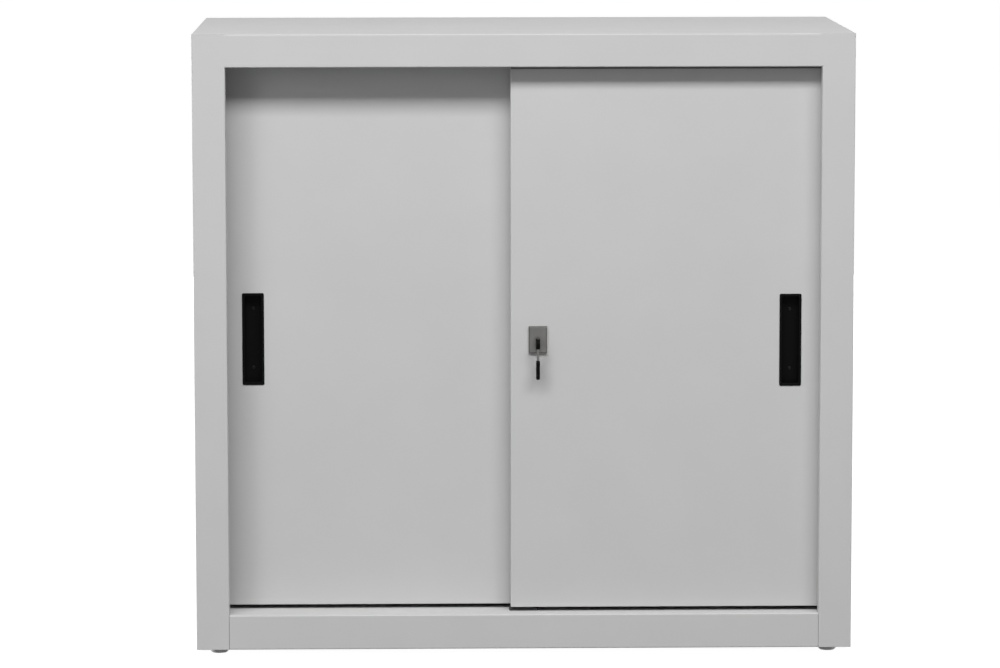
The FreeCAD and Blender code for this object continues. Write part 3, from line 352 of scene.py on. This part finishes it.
def moulded(name, colour, rough, grain, depth, gloss, inner=0.0):
    """A moulded or dipped surface; grain is in grains for each metre."""
    plastic = Finish(name)
    broad = plastic.noise(HANDLING_CLOUDS, detail=3.0)
    rounded = plastic.rounded(MOULD_RADIUS)
    handled = plastic.ramp(broad, colour, tuple(c * HANDLED_PALER for c in colour))
    rubbed = edge_colour(plastic, edge_mask(plastic, rounded), handled,
                         tuple(c * RUBBED_PALER for c in colour))
    plastic.link(rubbed, plastic.shader.inputs["Base Color"])
    sheen = plastic.vary(broad, rough - HANDLED_ROUGHNESS, rough + HANDLED_ROUGHNESS)
    plastic.link(sheen, plastic.shader.inputs["Roughness"])
    texture = plastic.noise(grain, detail=2.0)
    surface = plastic.relief(texture, depth, strength=0.6, under=rounded)
    plastic.link(surface, plastic.shader.inputs["Normal"])
    plastic.shader.inputs["Specular IOR Level"].default_value = gloss
    plastic.shader.inputs["Subsurface Weight"].default_value = inner
    plastic.shader.inputs["Subsurface Scale"].default_value = INNER_REACH
    return plastic.material


black = moulded("black_moulded_plastic", grey(0.0022), rough=0.55,
                grain=2600, depth=0.00003, gloss=0.05)
nylon = moulded("natural_nylon", (0.68, 0.66, 0.58), rough=0.42,
                grain=1500, depth=0.00001, gloss=0.3, inner=0.25)
rubber = moulded("grey_rubber", grey(0.27), rough=0.72,
                 grain=1800, depth=0.00003, gloss=0.2)
blackened = moulded("blackened_steel", grey(0.0035), rough=0.48,
                    grain=3000, depth=0.00001, gloss=0.12)
dusty = moulded("dusty_black_plastic", grey(0.045), rough=0.60,
                grain=2600, depth=0.00003, gloss=0.2)
pads = moulded("pale_grey_pad_rubber", grey(0.68), rough=0.36,
               grain=1800, depth=0.00001, gloss=0.9)
print("plastics:", black.name, nylon.name, rubber.name)
print("and:", blackened.name, dusty.name, pads.name)

# %% [markdown]
# ## Who wears what
#
# The record names a material slot for each solid, so the finishes are handed out
# by slot. That keeps the choice in one table, and a new solid in a known slot is
# dressed without another line here. Each solid's own slots take the finish; its
# mesh isn't touched. Two kinds of piece get a finish of their own. The floor guide
# is moulded from the same plastic as the pulls, but the doors rub it and dust
# settles on it. The feet's pads are a paler, smoother and glossier rubber than the
# track stops.

# %% Dress the solids
FINISHES = {
    "grey_paint": coat,
    "zinc": zinc,
    "nickel": nickel,
    "aluminium": drawn,
    "black_plastic": black,
    "black_steel": blackened,
    "nylon": nylon,
    "rubber": rubber,
}
OWN_FINISHES = {node: pads for node in nodes if node.startswith("foot_pad_")}
OWN_FINISHES["floor_guide"] = dusty
for part in frame["record"]["subparts"]:
    finish = OWN_FINISHES.get(part["node"], FINISHES[part["material_slot"]])
    for slot in nodes[part["node"]].material_slots:
        slot.material = finish

# %% [markdown]
# ## Turned pieces
#
# Screws and feet are turned, so one helper skins them all: a list of rings, each
# a list of points, becomes a closed surface. Blender could spin a profile or add
# a screw modifier instead, but rings in code can also carry what a lathe can't,
# such as a thread that climbs or a recess that is pressed in.

# %% Skin a list of rings
def skin_rings(shape, rings, place):
    """Join neighbouring rings with faces and close both ends."""
    loops = [[shape.verts.new(place @ Vector(point)) for point in ring] for ring in rings]
    for upper, lower in zip(loops, loops[1:]):
        for index in range(len(upper)):
            after = (index + 1) % len(upper)
            corners = (upper[index], upper[after], lower[after], lower[index])
            shape.faces.new(corners).smooth = True
    shape.faces.new(reversed(loops[0]))
    shape.faces.new(loops[-1])


def circle(radius, height, steps):
    """One ring of points at a height."""
    turns = [2 * math.pi * step / steps for step in range(steps)]
    return [(radius * math.cos(turn), radius * math.sin(turn), height) for turn in turns]


print("a screw's ring of 40 points is within",
      round((1 - math.cos(math.pi / 40)) * 100, 2), "percent of a true circle")

# %% [markdown]
# ## New pieces
#
# A new piece needs two things besides its shape: a finish and the body it rides
# on. A screw or a stud also takes the place of its plain solid. One helper does all
# of it, so that no piece is left behind when a door slides. Straight prisms, such
# as a weld or the shade strip, keep flat faces.

# %% Put a piece on its body
def new_piece(name, shape, finish, body, node=None):
    """Turn a bmesh into a piece that wears a finish and rides on a body."""
    mesh = bpy.data.meshes.new(name)
    bmesh.ops.recalc_face_normals(shape, faces=shape.faces)
    shape.to_mesh(mesh)
    shape.free()
    mesh.materials.append(finish)
    piece = bpy.data.objects.new(name, mesh)
    bpy.context.scene.collection.objects.link(piece)
    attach(piece, body)
    if node:
        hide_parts(node)


def flat_prism(rings):
    """A prism through level outlines, with flat faces."""
    shape = bmesh.new()
    skin_rings(shape, rings, Matrix.Identity(4))
    for face in shape.faces:
        face.smooth = False
    return shape


BODY_OF = {}
for body, held in frame["record"]["behaviour"]["bodies"].items():
    BODY_OF.update({node: body for node in held})
SLOT_OF = {part["node"]: part["material_slot"] for part in frame["record"]["subparts"]}
print("bodies that carry solids:", len(set(BODY_OF.values())))

# %% [markdown]
# ## Threads
#
# A rolled thread is a ridge that climbs one pitch for each turn. The rod's points
# lie on level rings, and each point moves in or out by how far it is from the
# ridge at that height and angle. Near both ends the ridge fades, as a rolled
# thread does, so the rod ends cleanly. A boolean or a swept triangle would be
# heavier, and would leave a seam along the rod.

# %% Roll a thread
ROWS_PER_PITCH = 5
THREAD_DEPTH = 0.5       # as a share of the pitch
M8_RADIUS, M8_PITCH = 0.004, 0.00125


def thread_rings(radius, top, bottom, pitch, steps):
    """Level rings from top to bottom whose radius follows a climbing ridge."""
    rows = max(3, round((top - bottom) / pitch * ROWS_PER_PITCH))
    rings = []
    for row in range(rows + 1):
        height = top + (bottom - top) * row / rows
        fade = max(0.0, min(1.0, (top - height) / pitch, (height - bottom) / pitch))
        ring = []
        for step in range(steps):
            phase = (height / pitch + step / steps) % 1
            depth = (1 - abs(phase * 2 - 1)) * pitch * THREAD_DEPTH * fade
            turn = 2 * math.pi * step / steps
            reach = radius - depth
            ring.append((reach * math.cos(turn), reach * math.sin(turn), height))
        rings.append(ring)
    return rings


sample_thread = thread_rings(M8_RADIUS, top=0.02, bottom=0.0, pitch=M8_PITCH, steps=24)
print("an M8 thread of 20 mm takes", len(sample_thread), "rings")

# %% [markdown]
# ## Screws
#
# The solids show each screw as a plain headed pin, which is all that holding the
# sheet needs. A real pan-head screw has a domed head, a cross recess that tapers
# inwards, and a rolled thread. The recess could be cut with a boolean, once for
# each of the 27 screws. Here it is pressed instead: the head's top is a fan of
# fine rings, and each point that lies inside the cross sinks. That never fails,
# and it gives the soft rim that a cold-pressed recess has.
#
# Where each screw sits, and which way it points, is measured on the solids, so
# the screws stay right if the cupboard is made in another size.

# %% Measure the plain screws
SAME_POINT = 0.000001    # metres
SLANT = Vector((1.0, 0.31, 0.17))    # no two parts are level along this line
END_ZONE = 0.3           # the ends of a screw start this far out, as a share of it


def loose_parts(node):
    """The point lists of a solid's separate parts, always in the same order."""
    shape = bmesh.new()
    shape.from_mesh(nodes[node].data)
    bmesh.ops.remove_doubles(shape, verts=shape.verts, dist=SAME_POINT)
    left = set(shape.verts)
    parts = []
    while left:
        edge_of_search = [left.pop()]
        found = list(edge_of_search)
        while edge_of_search:
            for edge in edge_of_search.pop().link_edges:
                for vert in edge.verts:
                    if vert in left:
                        left.remove(vert)
                        found.append(vert)
                        edge_of_search.append(vert)
        parts.append([vert.co.copy() for vert in found])
    shape.free()
    return sorted(parts, key=lambda part: max(point.dot(SLANT) for point in part))


def sideways(offset, along):
    """How far an offset reaches away from an axis."""
    flat = offset.copy()
    flat[along] = 0.0
    return flat.length


def measure_screw(points):
    """Where the head's crown is, which way it faces, and the screw's sizes."""
    low = Vector([min(p[k] for p in points) for k in range(3)])
    high = Vector([max(p[k] for p in points) for k in range(3)])
    size = high - low
    along = min(range(3), key=lambda k: abs(size[(k + 1) % 3] - size[(k + 2) % 3]))
    centre = (low + high) / 2
    zone = size[along] * END_ZONE
    top_reach = max(sideways(p - centre, along) for p in points
                    if p[along] > centre[along] + zone)
    low_reach = max(sideways(p - centre, along) for p in points
                    if p[along] < centre[along] - zone)
    way = 1 if top_reach > low_reach else -1
    facing = Vector([way if k == along else 0 for k in range(3)])
    crown = centre + facing * size[along] / 2
    shank, head = min(top_reach, low_reach), max(top_reach, low_reach)
    deep = max(abs((crown - p)[along]) for p in points
               if sideways(p - centre, along) > (shank + head) / 2)
    return {"crown": crown, "facing": facing, "head": head, "shank": shank,
            "deep": deep, "length": size[along]}


sample = measure_screw(loose_parts("back_panel_screws")[0])

# %% [markdown]
# ## Heads and shanks
#
# The sizes of a pan head hang together: its dome, its recess and its rim are all
# shares of the head's radius and depth. So one outline serves every screw, from
# the lock's small ones to those of the back panel. Each screw is turned 37 degrees
# further than the one before, because nobody drives them all to the same angle.

# %% Press the heads and roll the shanks
SCREW_STEPS = 40                # points in each ring
CROWN_RINGS = 13
CROWN_WIDTH = 0.985             # share of the head's radius that the dome covers
DOME_DROP, DOME_CURVE = 0.5, 2.4
HEAD_RIM = ((1.0, 0.58), (1.0, 0.93), (0.97, 1.0))    # shares of radius and depth
CROSS_ARM, CROSS_REACH, CROSS_WALL = 0.15, 0.58, 0.07  # shares of the head's radius
CROSS_DEPTH = 0.55              # share of the head's depth
CROSS_TAPER = 0.45              # how much shallower the cross is at its ends
SCREW_PITCH, TIP_LENGTH, TIP_WIDTH = 0.7, 0.3, 0.6     # shares of the shank's radius
TURN_BETWEEN = 37               # degrees from one screw to the next


def cross_depth(x, y, head):
    """How deep the cross recess is at a point of the head, from 0 to 1."""
    arm = head * CROSS_ARM
    reach = head * CROSS_REACH
    inside = max(min(arm - abs(x), reach - abs(y)), min(arm - abs(y), reach - abs(x)))
    slope = min(1.0, max(0.0, inside / (head * CROSS_WALL)))
    return slope * (1 - CROSS_TAPER * math.hypot(x, y) / reach)


def screw_rings(size):
    """Rings from the crown's middle, over the dome, down the shank to the tip."""
    head, deep, shank = size["head"], size["deep"], size["shank"]
    rings = []
    for part in range(1, CROWN_RINGS + 1):
        radius = head * part / CROWN_RINGS * CROWN_WIDTH
        dome = -deep * DOME_DROP * (radius / head) ** DOME_CURVE
        rings.append([(x, y, z - deep * CROSS_DEPTH * cross_depth(x, y, head))
                      for x, y, z in circle(radius, dome, SCREW_STEPS)])
    for width, drop in HEAD_RIM:
        rings.append(circle(head * width, -deep * drop, SCREW_STEPS))
    tip = -size["length"]
    thread_end = tip + shank * TIP_LENGTH
    rings += thread_rings(shank, -deep, thread_end, shank * SCREW_PITCH, SCREW_STEPS)
    rings.append(circle(shank * TIP_WIDTH, tip, SCREW_STEPS))
    return rings


screw_count = 0
for node in sorted(nodes):
    if not node.endswith(("_screws", "_screw")):
        continue
    shape = bmesh.new()
    for points in loose_parts(node):
        size = measure_screw(points)
        turn = Matrix.Rotation(math.radians(TURN_BETWEEN * screw_count), 4, "Z")
        facing = size["facing"].to_track_quat("Z", "Y").to_matrix().to_4x4()
        place = Matrix.Translation(size["crown"]) @ facing
        skin_rings(shape, screw_rings(size), place @ turn)
        screw_count += 1
    finish = FINISHES[SLOT_OF[node]]
    name = node.replace("screw", "pan_head")
    new_piece(name, shape, finish, BODY_OF[node], node)
print(screw_count, "screws made")

# %% [markdown]
# ## Levelling feet
#
# Each foot is a rubber pad moulded on an M8 stud. The stud's thread runs up
# through the nut under the floor panel, and its upper end has a slot, so that the
# cupboard can be levelled from inside with a screwdriver. The stud replaces the
# plain rod of the solids and keeps its length and width.

# %% Thread the studs
STUD_STEPS = 24           # points in each ring
END_RINGS = 9
END_WIDTH, FOOT_WIDTH = 0.86, 0.98              # shares of the radius
SLOT_HALF_WIDTH, SLOT_DEPTH = 0.0007, 0.0012    # metres, as are the next two
END_BEVEL = 0.0006
PLAIN_LENGTH = 0.004      # without a thread, inside the pad


def stud_rings(radius, length):
    """Rings from the slotted upper end down to the pad."""
    rings = []
    for part in range(1, END_RINGS + 1):
        ring = circle(radius * END_WIDTH * part / END_RINGS, 0, STUD_STEPS)
        rings.append([(x, y, -SLOT_DEPTH if abs(x) < SLOT_HALF_WIDTH else 0)
                      for x, y, _ in ring])
    rings += thread_rings(radius, -END_BEVEL, -length + PLAIN_LENGTH, M8_PITCH, STUD_STEPS)
    rings.append(circle(radius * FOOT_WIDTH, -length, STUD_STEPS))
    return rings


for node in sorted(nodes):
    if not node.startswith("foot_stud_"):
        continue
    low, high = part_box(node)
    radius = (high.x - low.x) / 2
    top = Vector(((low.x + high.x) / 2, (low.y + high.y) / 2, high.z))
    shape = bmesh.new()
    skin_rings(shape, stud_rings(radius, high.z - low.z), Matrix.Translation(top))
    name = node.replace("stud", "threaded_stud")
    new_piece(name, shape, zinc, BODY_OF[node], node)

# %% [markdown]
# ## Ground corner welds
#
# At each top corner the end of the rail meets the rounded edge of its stile. The
# maker welds that groove from the front and grinds it flush before painting, so
# the frame reads as one surface there. The weld could be hidden by a bump in the
# paint, but a real strip of metal that fills the groove also looks right from
# the side. It is a thin prism along the rail's height. The grinding feathers it
# out over the rail and the stile by about a millimetre, and leaves it a hundredth
# of a millimetre proud. It has no edge left to round, so it wears the powder coat
# without the bevel.

# %% Fill the grooves at the top corners
BEND = 0.0016             # radius of the folds, in metres as are all below
RAIL_END = 0.40485        # from the cupboard's middle
STILE_BEND = 0.4066       # where the stile's fold starts, from the middle
FEATHER = 0.0011          # spread of the weld over the rail and the stile
PROUD = 0.00001
FEATHER_THICK = 0.000014
BEND_POINTS, BEND_STEP = 7, 13    # points on the fold, and degrees between them
TRACK_RISE = 0.006        # from the rail's underside up to the track
WELD_FOOT = 0.0003        # gap below the weld
WELD_GAPS = 0.0009        # gaps below and above it
WELD_ROWS = 60
FRONT = solid_low.y


def weld_ring(hand, height, low, high):
    """One outline of the weld: flat in front, hollow where it meets the stile's bend."""
    past = max(0.0, height - (high - BEND), low + BEND - height)
    round_back = BEND - math.sqrt(max(0.0, BEND ** 2 - past ** 2))
    face = FRONT - PROUD + round_back
    back = face + FEATHER_THICK
    ring = [(RAIL_END - FEATHER, back), (RAIL_END - FEATHER, face),
            (STILE_BEND + FEATHER, face), (STILE_BEND + FEATHER, back)]
    for part in range(BEND_POINTS):
        turn = math.radians(BEND_STEP * part)
        curve = FRONT + BEND - BEND * math.cos(turn)
        ring.append((STILE_BEND - BEND * math.sin(turn), max(back, curve)))
    ring += [(RAIL_END, ring[-1][1]), (RAIL_END, back)]
    return [(hand * x, y, height) for x, y in ring]


weld_coat = powder_coat("ground_weld_coat", GREY_LEVEL, rounding=False)
rail_low, rail_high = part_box("front_track")[0].z - TRACK_RISE, solid_high.z
weld_height = rail_high - rail_low - WELD_GAPS
for side, hand in (("left", -1), ("right", 1)):
    rings = [weld_ring(hand, rail_low + WELD_FOOT + weld_height * row / WELD_ROWS,
                       rail_low, rail_high) for row in range(WELD_ROWS + 1)]
    new_piece("ground_weld_" + side, flat_prism(rings), weld_coat, "carcass")

# %% [markdown]
# ## Painted shade strip
#
# A thin strip of dark grey rubber runs along the top of the right door's face. It
# is painted shade: it draws the fine dark line of shade that lies right under the
# rail. A dark stripe in the paint would look the same from the front, but a strip
# of its own has a thickness and slides with the door. It is a prism with its two
# front corners cut, and its upper part hides behind the rail.

# %% Glue on the strip of painted shade
SHADE_STRIP_THICK = 0.0006       # metres, as are all below
SHADE_STRIP_BELOW_RAIL = 0.0040
SHADE_STRIP_BEHIND_RAIL = 0.0005
SHADE_STRIP_END = 0.0006         # from each side edge of the door
SHADE_STRIP_CORNER = 0.0002


def shade_strip_ring(x, face, low, high):
    """One outline of the shade strip, with its two front corners cut."""
    front = face - SHADE_STRIP_THICK
    return [(x, face, low), (x, front + SHADE_STRIP_CORNER, low), (x, front, low + SHADE_STRIP_CORNER),
            (x, front, high - SHADE_STRIP_CORNER), (x, front + SHADE_STRIP_CORNER, high), (x, face, high)]


# Its dark grey is painted shade: the fine shade line right under the rail.
shade_strip_rubber = moulded("painted_shade_strip_rubber", grey(0.14), rough=0.75,
                      grain=1800, depth=0.00002, gloss=0.15)
door_low, door_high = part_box("right_door_skin")
shade_strip_low, shade_strip_high = rail_low - SHADE_STRIP_BELOW_RAIL, rail_low + SHADE_STRIP_BEHIND_RAIL
ends = (door_low.x + SHADE_STRIP_END, door_high.x - SHADE_STRIP_END)
shade_strip = flat_prism([shade_strip_ring(x, door_low.y, shade_strip_low, shade_strip_high) for x in ends])
new_piece("right_door_painted_shade_strip", shade_strip, shade_strip_rubber, "right_door")

# %% [markdown]
# ## Floor
#
# The cupboard stands on a pale floor in a white surround. A floor lit until it
# turns white would throw that light back on the cupboard and wash it out. So
# the floor is an ordinary pale surface for the light that bounces about, and
# only what the camera, a reflection or clear glass sees is lifted with a little
# glow. The cupboard's shadow still darkens it, because most of its brightness
# is still light that falls on it.

# %% Lay the floor
FLOOR_REACH = 30          # metres to each side
FLOOR_LEVEL, FLOOR_ROUGHNESS = 0.25, 0.9
FLOOR_GLOW = 0.975


def seen_directly(tree):
    """1 for camera, mirror and glass rays, 0 for light that bounces."""
    path = tree.nodes.new("ShaderNodeLightPath")
    total = path.outputs["Is Camera Ray"]
    for name in ("Is Glossy Ray", "Is Transmission Ray"):
        either = tree.nodes.new("ShaderNodeMath")
        either.operation = "MAXIMUM"
        tree.links.new(total, either.inputs[0])
        tree.links.new(path.outputs[name], either.inputs[1])
        total = either.outputs["Value"]
    return total


def split_rays(tree, bounced, seen, surface):
    """Send one shader to bounced light and another to what is seen."""
    pick = tree.nodes.new("ShaderNodeMixShader")
    tree.links.new(seen_directly(tree), pick.inputs["Fac"])
    tree.links.new(bounced, pick.inputs[1])
    tree.links.new(seen, pick.inputs[2])
    tree.links.new(pick.outputs[0], surface)


floor_mesh = bpy.data.meshes.new("floor")
corners = [(FLOOR_REACH * x, FLOOR_REACH * y, 0)
           for x, y in ((-1, -1), (1, -1), (1, 1), (-1, 1))]
floor_mesh.from_pydata(corners, [], [(0, 1, 2, 3)])
floor = bpy.data.objects.new("floor", floor_mesh)
bpy.context.scene.collection.objects.link(floor)

floor_finish = bpy.data.materials.new("pale_floor")
floor_finish.use_nodes = True
tree = floor_finish.node_tree
pale = tree.nodes["Principled BSDF"]
pale.inputs["Base Color"].default_value = (*grey(FLOOR_LEVEL), 1)
pale.inputs["Roughness"].default_value = FLOOR_ROUGHNESS
pale.inputs["Specular IOR Level"].default_value = 0.0
glow = tree.nodes.new("ShaderNodeEmission")
glow.inputs["Strength"].default_value = FLOOR_GLOW
lifted = tree.nodes.new("ShaderNodeAddShader")
tree.links.new(pale.outputs[0], lifted.inputs[0])
tree.links.new(glow.outputs[0], lifted.inputs[1])
split_rays(tree, pale.outputs[0], lifted.outputs[0],
           tree.nodes["Material Output"].inputs["Surface"])
floor.data.materials.append(floor_finish)
print("floor", 2 * FLOOR_REACH, "m wide")

# %% [markdown]
# ## White surround
#
# Past the floor's edge the camera looks into the world, which is split in the
# same way: plain white where it is seen, and dim where it lights the cupboard.
# The dim part stands for a room with pale walls. It fills the shadows a little
# from every side and leaves their edges to the lamps.

# %% Light the surround
WHITE = (1, 1, 1, 1)
ROOM_LIGHT = 0.106

world = bpy.data.worlds.new("surround")
bpy.context.scene.world = world
world.use_nodes = True
tree = world.node_tree
dim = tree.nodes["Background"]
dim.inputs["Color"].default_value = WHITE
dim.inputs["Strength"].default_value = ROOM_LIGHT
white = tree.nodes.new("ShaderNodeBackground")
white.inputs["Color"].default_value = WHITE
white.inputs["Strength"].default_value = 1.0
split_rays(tree, dim.outputs[0], white.outputs[0],
           tree.nodes["World Output"].inputs["Surface"])
print("the surround lights the cupboard at", ROOM_LIGHT)

# %% [markdown]
# ## Lamps
#
# The main lamp is a long strip that hangs level in front of the cupboard, about as
# high above its top as it is away from it. Its light comes down at about 45 degrees. A
# strip is thin from top to bottom, so the top rail throws a readable shadow on
# the doors. It is very long from side to side, so beside the stiles the light
# fades over a few centimetres instead of stopping at a line. A weak fill lamp at
# the left, twice as high as the cupboard, lifts the rail's shadow without erasing
# it, and leaves the corner behind the left stile as its darkest place.
#
# A single lamp leaves the back and the sides in the dark. Three large, low lamps
# stand behind the plane of the doors: one faces the back, and one each side.
# From there they can't reach the doors, and they only graze the top, so the front
# keeps its plain shadows. They are hidden from the camera and from reflections,
# because a real photographer would keep them out of both.

# %% Hang the lamps
def soft_box(name, place, target, width, height, watts, hidden):
    """A rectangular lamp that looks at a target."""
    data = bpy.data.lights.new(name, "AREA")
    data.shape = "RECTANGLE"
    data.size = width
    data.size_y = height
    data.energy = watts
    lamp = bpy.data.objects.new(name, data)
    lamp.location = place
    direction = Vector(target) - Vector(place)
    lamp.rotation_euler = direction.to_track_quat("-Z", "Y").to_euler()
    lamp.visible_camera = False
    lamp.visible_glossy = not hidden
    bpy.context.scene.collection.objects.link(lamp)


DOORS = (0, -0.17, 0.60)    # places, targets and sizes are in metres
LOW = 0.47                  # height of the three low lamps and their targets
soft_box("strip_lamp", place=(0.0, -3.30, 4.11), target=DOORS,
         width=6.6, height=1.1, watts=295, hidden=False)
soft_box("fill_lamp", place=(-3.2, -3.4, 1.8), target=DOORS,
         width=1.6, height=2.4, watts=26, hidden=True)
soft_box("back_lamp", place=(0.0, 4.60, LOW), target=(0, 0.2, LOW),
         width=4.4, height=0.9, watts=95, hidden=True)
for side, hand in (("left", -1), ("right", 1)):
    soft_box("lamp_" + side, place=(hand * 4.2, 1.45, LOW), target=(hand * 0.45, 0.1, LOW),
             width=2.4, height=0.9, watts=72, hidden=True)
print("five lamps hung")
